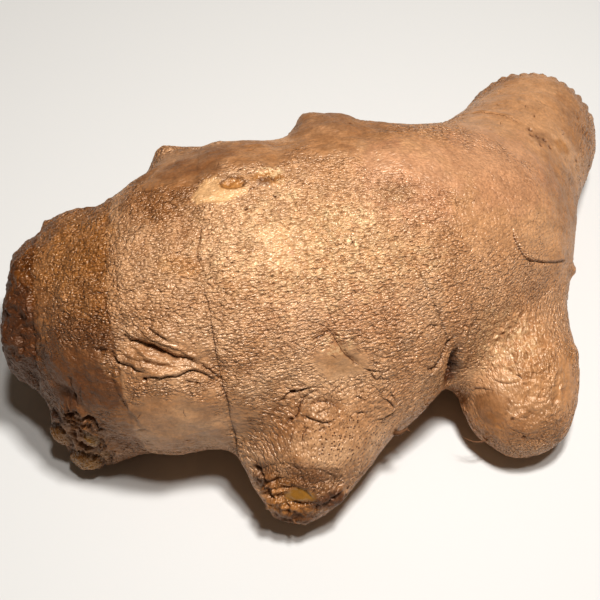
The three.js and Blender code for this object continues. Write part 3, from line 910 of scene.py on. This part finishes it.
def place(name, data):
    """A new object in the scene."""
    thing = bpy.data.objects.new(name, data)
    bpy.context.scene.collection.objects.link(thing)
    return thing


def mesh_arrays(source):
    """Points and quads of a copy of an object with its modifiers applied."""
    graph = bpy.context.evaluated_depsgraph_get()
    mesh = bpy.data.meshes.new_from_object(source.evaluated_get(graph), depsgraph=graph)
    points = np.empty(len(mesh.vertices) * 3)
    mesh.vertices.foreach_get("co", points)
    quads = np.empty(len(mesh.polygons) * 4, int)
    mesh.loops.foreach_get("vertex_index", quads)
    bpy.data.meshes.remove(mesh)
    return points.reshape(-1, 3), quads.reshape(-1, 4)


def even_mesh(node, sizes):
    """A fine even mesh over a CAD node in the view frame, and the coarser one that it is divided from."""
    copy = place("even", node.data.copy())
    even = copy.modifiers.new("even", "REMESH")
    even.mode = "VOXEL"
    even.voxel_size = sizes.grid
    points, quads = mesh_arrays(copy)
    links = np.unique(np.sort(np.concatenate([quads[:, [i, (i + 1) % 4]] for i in range(4)]), axis=1), axis=0)
    once = spread(points, links, sizes.softening)
    soft = 2 * once - spread(once, links, sizes.softening)
    copy.modifiers.clear()
    old = copy.data
    copy.data = bpy.data.meshes.new("even")
    copy.data.from_pydata(soft.tolist(), [], quads.tolist())
    bpy.data.meshes.remove(old)
    divide = copy.modifiers.new("divide", "SUBSURF")
    divide.levels = divide.render_levels = sizes.divisions
    fine, fine_quads = mesh_arrays(copy)
    old = copy.data
    bpy.data.objects.remove(copy)
    bpy.data.meshes.remove(old)
    return to_view(fine), fine_quads, (to_view(soft), quads)


def new_material(name):
    material = bpy.data.materials.new(name)
    material.use_nodes = True
    tree = material.node_tree
    tree.nodes.clear()
    return material, tree


def add_node(tree, kind, settings=None, links=None, values=None):
    """A node with its settings, the sockets linked to its inputs, and the values of its other inputs."""
    node = tree.nodes.new(kind)
    for key, value in (settings or {}).items():
        setattr(node, key, value)
    for key, value in (values or {}).items():
        node.inputs[key].default_value = value
    for key, socket in (links or {}).items():
        tree.links.new(socket, node.inputs[key])
    return node


def mixed(tree, share, first, second, blend="MIX"):
    """The colour between two colours, each a socket or a plain colour."""
    links, values = {}, {}
    for key, value in ((0, share), (6, first), (7, second)):
        if isinstance(value, bpy.types.NodeSocket):
            links[key] = value
        else:
            values[key] = value
    node = add_node(tree, "ShaderNodeMix", {"data_type": "RGBA", "blend_type": blend}, links, values)
    return node.outputs[2]


def ramp(tree, socket, low, high, to_low=0.0, to_high=1.0):
    """A value carried from one range to another, held at its ends."""
    node = add_node(tree, "ShaderNodeMapRange", {"clamp": True}, {0: socket},
                    {1: low, 2: high, 3: to_low, 4: to_high})
    return node.outputs[0]


# Sizes of the skin's patterns. The finest are drawn as coarse as they need to show.
CLOUD_SIZE = 8 * MM
MOTTLE_SIZE = 3 * MM
BLOTCH_SIZE = 2.4 * MM
SATIN_SIZE = 1.0 * MM
PAPER_SIZE = 0.9 * MM
FLECK_SIZE = 0.6 * MM
PORE_SPACING = 0.55 * MM
FRAY_SIZE = 0.4 * MM
# The cells between the finest wrinkles, how deep they are, and how far and over what size they are bent
CELL_SIZE = 0.34 * MM
CELL_DEPTH = 0.34 * MM
BEND = 0.7 * MM
BEND_SIZE = 1.1 * MM
GRAIN_SIZE = 0.3 * MM
GRAIN_DEPTH = 0.08 * MM


def skin_material(colours):
    """Dry ginger skin: a thin satin cork over juicy flesh, which glints on the shoulders of its wrinkles."""
    material, tree = new_material("ginger skin, dry and satin")
    place = add_node(tree, "ShaderNodeTexCoord").outputs["Object"]

    def attribute(name, output="Fac"):
        return add_node(tree, "ShaderNodeAttribute", {"attribute_name": name}).outputs[output]

    def noise(size, detail=3.0, roughness=0.55):
        return add_node(tree, "ShaderNodeTexNoise", {}, {"Vector": place},
                        {"Scale": 1 / size, "Detail": detail, "Roughness": roughness}).outputs["Fac"]

    # Skin tones, from cloudy patches a centimetre across down to flecks half a millimetre wide, with the
    # painted shade and painted highlight that some masks carry; the seams and valleys of the finest wrinkles
    # are darkened with painted shade
    cloud = ramp(tree, noise(CLOUD_SIZE, 5.0, 0.6), 0.38, 0.62)
    colour = mixed(tree, cloud, colours.skin_dark, colours.skin)
    mottle = add_node(tree, "ShaderNodeMath", {"operation": "MULTIPLY"},
                      {0: attribute("old"),
                       1: ramp(tree, noise(MOTTLE_SIZE, 5.0, 0.65), 0.44, 0.6, 0.0, 0.6)}).outputs[0]
    for mask in ("ruddy", "old"):
        colour = mixed(tree, attribute(mask), colour, getattr(colours, mask))
    colour = mixed(tree, mottle, colour, colours.stain_and_shade)
    for mask in ("blush", "cream_and_highlight", "ochre", "grey", "stain_and_shade", "flesh"):
        colour = mixed(tree, attribute(mask), colour, getattr(colours, mask))
    paper = ramp(tree, noise(PAPER_SIZE, 4.0, 0.7), 0.47, 0.55)
    flakes = add_node(tree, "ShaderNodeMath", {"operation": "MULTIPLY"},
                      {0: attribute("pale"), 1: paper}).outputs[0]
    colour = mixed(tree, flakes, colour, colours.pale)
    flecks = ramp(tree, noise(FLECK_SIZE, 4.0, 0.75), 0.36, 0.64, 0.87, 1.13)
    flecks = add_node(tree, "ShaderNodeMath", {"operation": "MULTIPLY"},
                      {0: flecks, 1: ramp(tree, noise(BLOTCH_SIZE, 4.0), 0.36, 0.64, 0.87, 1.1)}).outputs[0]
    dry = ramp(tree, attribute("flesh"), 0.0, 1.0, 1.0, 0.15)
    colour = mixed(tree, dry, colour, mixed(tree, 1.0, colour, flecks, "MULTIPLY"))
    bent = add_node(tree, "ShaderNodeVectorMath", {"operation": "MULTIPLY_ADD"},
                    {0: add_node(tree, "ShaderNodeTexNoise", {}, {"Vector": place},
                                 {"Scale": 1 / BEND_SIZE, "Detail": 2.0}).outputs["Color"],
                     2: attribute("grain", "Vector")}, {1: (BEND,) * 3})
    cells = add_node(tree, "ShaderNodeTexVoronoi", {}, {"Vector": bent.outputs[0]}, {"Scale": 1 / CELL_SIZE})
    dip = add_node(tree, "ShaderNodeMath", {"operation": "POWER"}, {0: cells.outputs["Distance"]},
                   {1: 2.0}).outputs[0]
    calm = ramp(tree, attribute("calm"), 0.0, 1.0, 1.0, 0.15)
    # Painted shade in the seams between the cells of the finest wrinkles
    seam_shade = add_node(tree, "ShaderNodeMath", {"operation": "MULTIPLY"},
                    {0: ramp(tree, dip, 0.15, 0.6, 0.0, 0.3), 1: calm}).outputs[0]
    colour = mixed(tree, seam_shade, colour, mixed(tree, 1.0, colour, colours.valley_shade, "MULTIPLY"))
    # Painted shade in the valleys of the mesh's wrinkles
    valley_shade = ramp(tree, attribute("wrinkle_valley_shade"), 0.4, 1.0, 0.0, 0.1)
    colour = mixed(tree, valley_shade, colour, mixed(tree, 1.0, colour, colours.valley_shade, "MULTIPLY"))

    # Pores, and the dark lines of rings and cracks, whose edges a finer noise frays; with them the painted
    # shade of the crease mask in grooves, pits and torn places
    spots = add_node(tree, "ShaderNodeTexVoronoi", {}, {"Vector": place}, {"Scale": 1 / PORE_SPACING})
    pore = ramp(tree, spots.outputs["Distance"], 0.2, 0.36, 0.95, 0.0)
    pore = add_node(tree, "ShaderNodeMath", {"operation": "MULTIPLY"},
                    {0: pore, 1: attribute("pores")}).outputs[0]
    colour = mixed(tree, pore, colour, colours.crease)
    away = add_node(tree, "ShaderNodeVectorMath", {"operation": "LENGTH"}, {0: attribute("gap", "Vector")})
    frayed = add_node(tree, "ShaderNodeMath", {"operation": "ADD"},
                      {0: away.outputs["Value"], 1: ramp(tree, noise(FRAY_SIZE), 0.3, 0.7, -0.7, 0.7)})
    line = ramp(tree, frayed.outputs[0], 0.5, 1.8, 0.85, 0.0)
    shade = add_node(tree, "ShaderNodeMath", {"operation": "MAXIMUM"}, {0: line, 1: attribute("crease")})
    colour = mixed(tree, shade.outputs[0], colour, colours.crease)

    # Relief finer than the mesh: pillows between the finest wrinkles, and a grain over them
    bump = add_node(tree, "ShaderNodeBump", {"invert": True}, {"Height": dip, "Strength": calm},
                    {"Distance": CELL_DEPTH})
    bump = add_node(tree, "ShaderNodeBump", {},
                    {"Height": noise(GRAIN_SIZE, 3.0, 0.6), "Normal": bump.outputs[0], "Strength": calm},
                    {"Distance": GRAIN_DEPTH})
    gloss = ramp(tree, noise(SATIN_SIZE, 3.0), 0.3, 0.7, 0.24, 0.36)
    gloss = add_node(tree, "ShaderNodeMath", {"operation": "MULTIPLY_ADD"},
                     {0: attribute("stain_and_shade"), 2: gloss}, {1: 0.2}).outputs[0]
    gloss = add_node(tree, "ShaderNodeMath", {"operation": "MULTIPLY_ADD"},
                     {0: attribute("calm"), 2: gloss}, {1: 0.14}).outputs[0]
    gloss = add_node(tree, "ShaderNodeMath", {"operation": "SUBTRACT"},
                     {0: gloss, 1: ramp(tree, attribute("flesh"), 0.0, 1.0, 0.0, 0.26)}).outputs[0]
    shader = add_node(tree, "ShaderNodeBsdfPrincipled", {},
                      {"Base Color": colour, "Roughness": gloss, "Normal": bump.outputs[0]},
                      {"IOR": 1.5, "Specular IOR Level": 1.0, "Specular Tint": colours.gloss})
    add_node(tree, "ShaderNodeOutputMaterial", {}, {"Surface": shader.outputs[0]})
    return material


def matt_material(name, colour, roughness):
    """A matt material of one colour."""
    material, tree = new_material(name)
    shader = add_node(tree, "ShaderNodeBsdfPrincipled", {}, {},
                      {"Base Color": colour, "Roughness": roughness})
    add_node(tree, "ShaderNodeOutputMaterial", {}, {"Surface": shader.outputs[0]})
    return material


def rootlet_material(colours):
    """Dry rootlet: a dull brown fibre, which hardly shines."""
    return matt_material("dry rootlet", colours.rootlet, 0.7)


def tube(line, thick):
    """Points and faces of a tapering, closed tube along a line of the view frame."""
    way = unit(np.gradient(line, axis=0))
    side = unit(np.cross(way, (0.1, 0.2, 1.0)))
    over = np.cross(way, side)
    turn = np.arange(TUBE_SIDES) * 2 * math.pi / TUBE_SIDES
    radius = thick / 2 * (1 - np.linspace(0, 1, len(line)) ** 1.5 * 0.9)
    rings = line[:, None] + radius[:, None, None] * (
        np.cos(turn)[:, None] * side[:, None] + np.sin(turn)[:, None] * over[:, None])
    last = TUBE_SIDES * (len(line) - 1)
    faces = [tuple(range(TUBE_SIDES))[::-1], tuple(range(last, last + TUBE_SIDES))]
    for row in range(len(line) - 1):
        for i in range(TUBE_SIDES):
            j = (i + 1) % TUBE_SIDES
            low, high = row * TUBE_SIDES, (row + 1) * TUBE_SIDES
            faces.append((low + i, low + j, high + j, high + i))
    return rings.reshape(-1, 3), faces


def floor_material(colours):
    """Matt painted board: pale and even."""
    return matt_material("matt white board", colours.floor, 0.9)


class SkinSizes(bpy.types.PropertyGroup):
    grid: FloatProperty(name="Grid", description="Spacing of the skin's even mesh before it is divided",
                        default=0.91 * MM, unit="LENGTH")
    divisions: IntProperty(name="Divisions", description="How often each face of the mesh is divided by two",
                           default=2, min=1, max=3)
    softening: IntProperty(name="Softening", description="Rounds of smoothing that take the facets away",
                           default=10, min=1)
    wrinkle_spacing: FloatProperty(name="Wrinkle spacing", description="Distance from wrinkle to wrinkle",
                                   default=0.7 * MM, unit="LENGTH")
    wrinkle_length: FloatProperty(name="Wrinkle length", description="Length over which a wrinkle runs on",
                                  default=2.0 * MM, unit="LENGTH")
    wrinkle_depth: FloatProperty(name="Wrinkle depth", description="Height of a wrinkle over its valley",
                                 default=0.15 * MM, unit="LENGTH")
    swell: FloatProperty(name="Swell", description="Height of the skin's broad unevenness",
                         default=0.14 * MM, unit="LENGTH")
    gnarl: FloatProperty(name="Gnarl", description="Height of the old end's extra unevenness",
                         default=0.5 * MM, unit="LENGTH")
    flakes: IntProperty(name="Flakes", description="Number of small places where the dry skin lifts",
                        default=260, min=0)
    seed: IntProperty(name="Seed", description="Seed of everything that is scattered", default=4)


def colour_property(name, description, default):
    """A colour that the user can change, from sRGB hex digits."""
    return FloatVectorProperty(name=name, description=description, default=hex_colour(default), size=4,
                               min=0.0, max=1.0, subtype="COLOR")


class SkinColours(bpy.types.PropertyGroup):
    skin: colour_property("Skin", "Dry skin where it is light", "D8AA80")
    skin_dark: colour_property("Darker skin", "Dry skin where it is dark", "B9885E")
    ruddy: colour_property("Ruddy skin", "Skin of the right body and its fingers", "BE8C62")
    # Skin of the left end, and also painted shade at the front finger's left base
    old: colour_property("Old skin", "Skin of the left end", "84501E")
    # Smooth yellowish skin, and also a painted highlight over the middle of the body
    cream_and_highlight: colour_property("Cream", "Smooth yellowish skin", "E4B480")
    # Papery flakes, and also painted highlight glints over the middle of the body
    pale: colour_property("Pale skin", "Papery flakes", "F0CC9C")
    blush: colour_property("Blush", "Pinkish young skin", "C48C70")
    ochre: colour_property("Ochre", "Skin with the flesh showing through", "B0763A")
    grey: colour_property("Grey", "Rubbed smooth skin", "9A7450")
    # Old brown skin, and also the colour of painted shade in hollows and under the left end
    stain_and_shade: colour_property("Stain", "Old brown skin", "562B0A")
    flesh: colour_property("Flesh", "Yellow flesh of a broken end", "9E7030")
    # Colour of the painted shade in the wrinkles' valleys and seams
    valley_shade: colour_property("Valley", "Tint of the valleys between wrinkles", "8A5C3C")
    crease: colour_property("Crease", "Dirt and shade in cracks", "4C2A14")
    rootlet: colour_property("Rootlet", "Dry rootlets and fibres", "6E4A2C")
    gloss: colour_property("Gloss", "Tint of the skin's gloss, which is dry and warm", "FFEAD4")
    sky: colour_property("Sky", "Even light all round", "FFEAD2")
    floor: colour_property("Floor", "Pale floor", "DEDCD8")


class StageSizes(bpy.types.PropertyGroup):
    floor_width: FloatProperty(name="Floor width", description="Side of the square floor", default=3.0,
                               unit="LENGTH")
    lamp_power: FloatProperty(name="Lamp power", description="Power of the soft lamp overhead", default=0.63,
                              unit="POWER")
    lamp_width: FloatProperty(name="Lamp width", description="Side of the soft lamp overhead", default=0.035,
                              unit="LENGTH")
    lamp_place: FloatVectorProperty(name="Lamp place", description="Middle of the soft lamp overhead",
                                    default=(0.04, -0.035, 0.28), subtype="XYZ", unit="LENGTH")
    daylight: FloatProperty(name="Daylight", description="Strength of the soft light from afar",
                            default=0.85)
    daylight_spread: FloatProperty(name="Daylight spread", description="Angle that the light from afar fills",
                                   default=math.radians(5), subtype="ANGLE")
    sky: FloatProperty(name="Sky", description="Strength of the even light all round", default=0.08)
    lens: FloatProperty(name="Lens", description="Focal length of the camera, in millimetres", default=90.0)


class GINGER_OT_skin(bpy.types.Operator):
    """Builds the root's skin, with its rings, folds, cracks and broken ends"""

    bl_idname = "ginger.skin"
    bl_label = "Skin"

    def execute(self, context):
        skin = Skin(context.scene.ginger_sizes)
        for mask, patches in PATCHES.items():
            for patch in patches:
                skin.patch(mask, *patch)
        for ring in RINGS:
            skin.ring(*ring)
        for swelling in SWELLINGS:
            skin.swelling(*swelling)
        for crags in CRAGS:
            skin.crags(*crags)
        for nodule in NODULES:
            skin.nodule(*nodule)
        skin.grain()
        for crack in CRACKS + BREAK_LINES:
            skin.crack(skin.line_on(crack.at), *crack[1:])
        skin.flake(context.scene.ginger_sizes.flakes)
        for pit in PITS:
            skin.pit(*pit)
        skin.scallops(**SCALLOPS)
        skin.bud_eye(*BUD_EYE)
        skin.raise_relief()
        material = skin_material(context.scene.ginger_colours)
        for name, chosen in skin.parts():
            skin.make_piece("skin_" + name, chosen, material)
        return {"FINISHED"}


class GINGER_OT_rootlets(bpy.types.Operator):
    """Adds the dry rootlets and torn fibres that stand on the skin"""

    bl_idname = "ginger.rootlets"
    bl_label = "Rootlets"

    def execute(self, context):
        graph = context.evaluated_depsgraph_get()
        skins = [BVHTree.FromObject(piece, graph) for piece in context.scene.objects
                 if piece.name.startswith("skin_")]
        if not skins:
            raise RuntimeError("Build the skin before its rootlets")
        eye = Vector(to_row([(0, 0, VIEW_DISTANCE)])[0])
        points, faces = [], []
        for rootlet in ROOTLETS:
            way = (Vector(to_row([at_depth(rootlet.at[0], 0)])[0]) - eye).normalized()
            foot = to_view([met(skins, eye, way, ROOT_REACH * MM)])[0]
            line = np.array([at_depth(pixel, foot[2]) for pixel in rootlet.at])
            line += foot - line[0]
            line[:, 2] += np.linspace(-0.3 * rootlet.thick, rootlet.rise, len(line))
            tube_points, tube_faces = tube(smooth_line(line, rootlet.thick), rootlet.thick)
            faces += [tuple(i + len(points) for i in face) for face in tube_faces]
            points += to_row(tube_points).tolist()
        mesh = bpy.data.meshes.new("rootlets")
        mesh.from_pydata(points, [], faces)
        mesh.materials.append(rootlet_material(context.scene.ginger_colours))
        mesh.shade_smooth()
        piece = place("rootlets", mesh)
        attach(piece, "root")
        return {"FINISHED"}


class GINGER_OT_stage(bpy.types.Operator):
    """Sets the camera, the soft lamp, the light from afar, the even light all round and the pale floor"""

    bl_idname = "ginger.stage"
    bl_label = "Stage"

    def execute(self, context):
        sizes, colours = context.scene.ginger_stage, context.scene.ginger_colours
        scene = context.scene
        half = sizes.floor_width / 2
        mesh = bpy.data.meshes.new("floor")
        corners = [(-half, -half, 0), (half, -half, 0), (half, half, 0), (-half, half, 0)]
        mesh.from_pydata(corners, [], [(0, 1, 2, 3)])
        mesh.materials.append(floor_material(colours))
        floor = place("floor", mesh)

        lamp = bpy.data.lights.new("lamp", "AREA")
        lamp.energy, lamp.size = sizes.lamp_power, sizes.lamp_width
        lamp_object = place("lamp", lamp)
        lamp_object.location = sizes.lamp_place
        lamp_object.rotation_euler = (-Vector(sizes.lamp_place)).to_track_quat("-Z", "Y").to_euler()

        sun = bpy.data.lights.new("daylight", "SUN")
        sun.energy, sun.angle = sizes.daylight, sizes.daylight_spread
        place("daylight", sun).rotation_euler = lamp_object.rotation_euler

        world = bpy.data.worlds.new("even light")
        world.use_nodes = True
        light = world.node_tree.nodes["Background"].inputs
        light["Strength"].default_value, light["Color"].default_value = sizes.sky, colours.sky
        scene.world = world

        camera = bpy.data.cameras.new("camera")
        camera.lens, camera.sensor_width, camera.clip_start = sizes.lens, 36.0, 0.01
        camera_object = place("camera", camera)
        camera_object.location = to_row([(0, 0, VIEW_DISTANCE)])[0]
        camera_object.rotation_euler = (math.pi / 2 - LOOK_DOWN, 0, 0)
        scene.camera = camera_object
        scene.view_settings.view_transform = "Standard"
        scene.view_settings.look = "Medium High Contrast"
        return {"FINISHED"}


class GINGER_PT_panel(bpy.types.Panel):
    bl_idname = "GINGER_PT_panel"
    bl_label = "Ginger root"
    bl_space_type = "VIEW_3D"
    bl_region_type = "UI"
    bl_category = "Ginger"

    def draw(self, context):
        for operator in OPERATORS:
            self.layout.operator(operator.bl_idname)
        for group in (context.scene.ginger_sizes, context.scene.ginger_colours, context.scene.ginger_stage):
            for name in group.__annotations__:
                self.layout.prop(group, name)


OPERATORS = (GINGER_OT_skin, GINGER_OT_rootlets, GINGER_OT_stage)
CLASSES = (SkinSizes, SkinColours, StageSizes) + OPERATORS + (GINGER_PT_panel,)


def register():
    for cls in CLASSES:
        bpy.utils.register_class(cls)
    bpy.types.Scene.ginger_sizes = PointerProperty(type=SkinSizes)
    bpy.types.Scene.ginger_colours = PointerProperty(type=SkinColours)
    bpy.types.Scene.ginger_stage = PointerProperty(type=StageSizes)


def unregister():
    del bpy.types.Scene.ginger_sizes
    del bpy.types.Scene.ginger_colours
    del bpy.types.Scene.ginger_stage
    for cls in reversed(CLASSES):
        bpy.utils.unregister_class(cls)


def main():
    register()
    bpy.ops.ginger.skin()
    bpy.ops.ginger.rootlets()
    bpy.ops.ginger.stage()


if __name__ == "__main__":
    main()
